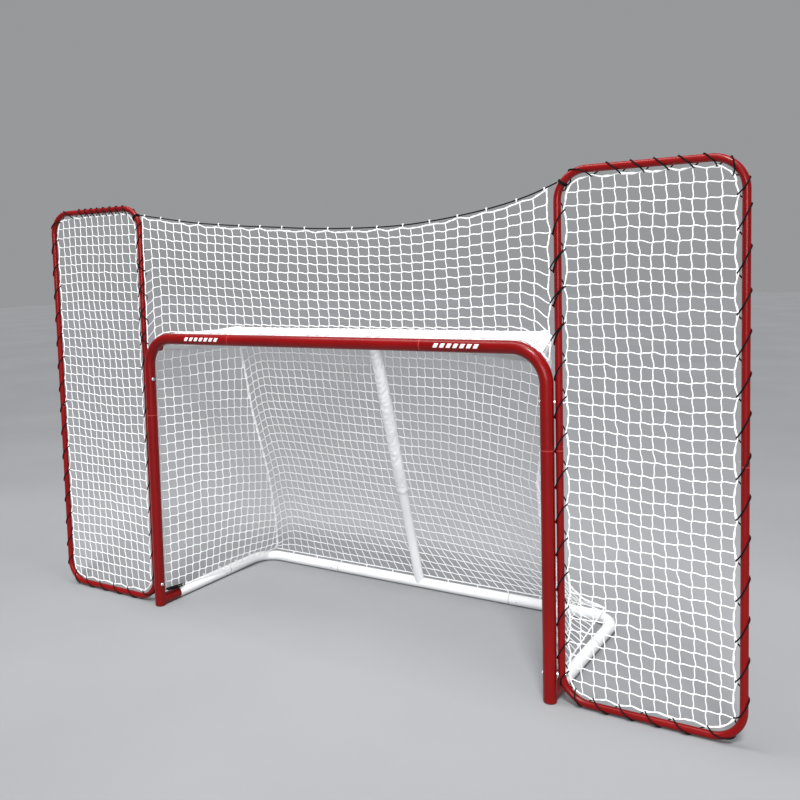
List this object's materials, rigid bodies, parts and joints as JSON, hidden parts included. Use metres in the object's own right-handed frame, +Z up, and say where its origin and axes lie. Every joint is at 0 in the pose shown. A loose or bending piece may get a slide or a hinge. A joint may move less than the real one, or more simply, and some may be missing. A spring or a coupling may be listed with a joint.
{
  "type": "hockey goal with backstop",
  "caption": "Hockey goal with a tube base, leaning centre post, side target panels and a raised backstop net, all laced with cord.",
  "frame": {"origin": "on the floor, in the middle of the footprint", "axes": "+X along the crossbar to the right as a shooter sees the goal, +Y back into the goal, +Z up"},
  "size_m": [3.1594, 0.84, 1.853],
  "materials": {
    "red_paint": "gloss powder coat",
    "white_paint": "gloss powder coat",
    "sleeve_fabric": "matt wrinkled nylon",
    "net_cord": "braided cord mesh",
    "black_cord": "braided cord",
    "cap_plastic": "satin moulded",
    "peg_plastic": "satin moulded",
    "bright_steel": "zinc plated",
    "spring_steel": "plain strip"
  },
  "bodies": {
    "goal": {"backstop_net": "net_cord", "backstop_rope": "black_cord", "button_springs": "spring_steel", "centre_post": "white_paint", "centre_post_sleeve": "sleeve_fabric", "corner_ties": "black_cord", "crossbar_tube": "red_paint", "foot_caps": "cap_plastic", "goal_net_back": "net_cord", "goal_net_left": "net_cord", "goal_net_right": "net_cord", "goal_net_top": "net_cord", "left_backstop_lacing": "black_cord", "left_base_corner": "white_paint", "left_base_rail": "white_paint", "left_corner_tube": "red_paint", "left_panel_lacing": "black_cord", "left_panel_lower_tube": "red_paint", "left_panel_net": "net_cord", "left_panel_upper_tube": "red_paint", "left_post": "red_paint", "left_shelf_sleeve": "sleeve_fabric", "left_shelf_tube": "white_paint", "net_pegs": "peg_plastic", "panel_bolts": "bright_steel", "panel_nuts": "bright_steel", "panel_washers": "bright_steel", "rear_base_tube": "white_paint", "right_backstop_lacing": "black_cord", "right_base_corner": "white_paint", "right_base_rail": "white_paint", "right_corner_tube": "red_paint", "right_panel_lacing": "black_cord", "right_panel_lower_tube": "red_paint", "right_panel_net": "net_cord", "right_panel_upper_tube": "red_paint", "right_post": "red_paint", "right_shelf_sleeve": "sleeve_fabric", "right_shelf_tube": "white_paint", "rope_ties": "black_cord", "shelf_screws": "bright_steel", "shelf_tee": "white_paint"},
    "left_crossbar_button": {"left_crossbar_button": "bright_steel"},
    "left_panel_inner_button": {"left_panel_inner_button": "bright_steel"},
    "left_panel_outer_button": {"left_panel_outer_button": "bright_steel"},
    "left_post_button": {"left_post_button": "bright_steel"},
    "left_rail_button": {"left_rail_button": "bright_steel"},
    "left_rear_button": {"left_rear_button": "bright_steel"},
    "right_crossbar_button": {"right_crossbar_button": "bright_steel"},
    "right_panel_inner_button": {"right_panel_inner_button": "bright_steel"},
    "right_panel_outer_button": {"right_panel_outer_button": "bright_steel"},
    "right_post_button": {"right_post_button": "bright_steel"},
    "right_rail_button": {"right_rail_button": "bright_steel"},
    "right_rear_button": {"right_rear_button": "bright_steel"}
  },
  "joints": [
    {"name": "left_crossbar_button_press", "type": "slide", "parent": "goal", "child": "left_crossbar_button", "axis": [0, -1, 0], "range_m": [0, 0.0047], "stiffness_N_per_m": 600, "springref_m": -0.004},
    {"name": "left_panel_inner_button_press", "type": "slide", "parent": "goal", "child": "left_panel_inner_button", "axis": [1, 0, 0], "range_m": [0, 0.0043], "stiffness_N_per_m": 600, "springref_m": -0.004},
    {"name": "left_panel_outer_button_press", "type": "slide", "parent": "goal", "child": "left_panel_outer_button", "axis": [-1, 0, 0], "range_m": [0, 0.0043], "stiffness_N_per_m": 600, "springref_m": -0.004},
    {"name": "left_post_button_press", "type": "slide", "parent": "goal", "child": "left_post_button", "axis": [0, -1, 0], "range_m": [0, 0.0047], "stiffness_N_per_m": 600, "springref_m": -0.004},
    {"name": "left_rail_button_press", "type": "slide", "parent": "goal", "child": "left_rail_button", "axis": [-1, 0, 0], "range_m": [0, 0.0047], "stiffness_N_per_m": 600, "springref_m": -0.004},
    {"name": "left_rear_button_press", "type": "slide", "parent": "goal", "child": "left_rear_button", "axis": [0, 1, 0], "range_m": [0, 0.0047], "stiffness_N_per_m": 600, "springref_m": -0.004},
    {"name": "right_crossbar_button_press", "type": "slide", "parent": "goal", "child": "right_crossbar_button", "axis": [0, -1, 0], "range_m": [0, 0.0047], "stiffness_N_per_m": 600, "springref_m": -0.004},
    {"name": "right_panel_inner_button_press", "type": "slide", "parent": "goal", "child": "right_panel_inner_button", "axis": [-1, 0, 0], "range_m": [0, 0.0043], "stiffness_N_per_m": 600, "springref_m": -0.004},
    {"name": "right_panel_outer_button_press", "type": "slide", "parent": "goal", "child": "right_panel_outer_button", "axis": [1, 0, 0], "range_m": [0, 0.0043], "stiffness_N_per_m": 600, "springref_m": -0.004},
    {"name": "right_post_button_press", "type": "slide", "parent": "goal", "child": "right_post_button", "axis": [0, -1, 0], "range_m": [0, 0.0047], "stiffness_N_per_m": 600, "springref_m": -0.004},
    {"name": "right_rail_button_press", "type": "slide", "parent": "goal", "child": "right_rail_button", "axis": [1, 0, 0], "range_m": [0, 0.0047], "stiffness_N_per_m": 600, "springref_m": -0.004},
    {"name": "right_rear_button_press", "type": "slide", "parent": "goal", "child": "right_rear_button", "axis": [0, 1, 0], "range_m": [0, 0.0047], "stiffness_N_per_m": 600, "springref_m": -0.004}
  ]
}
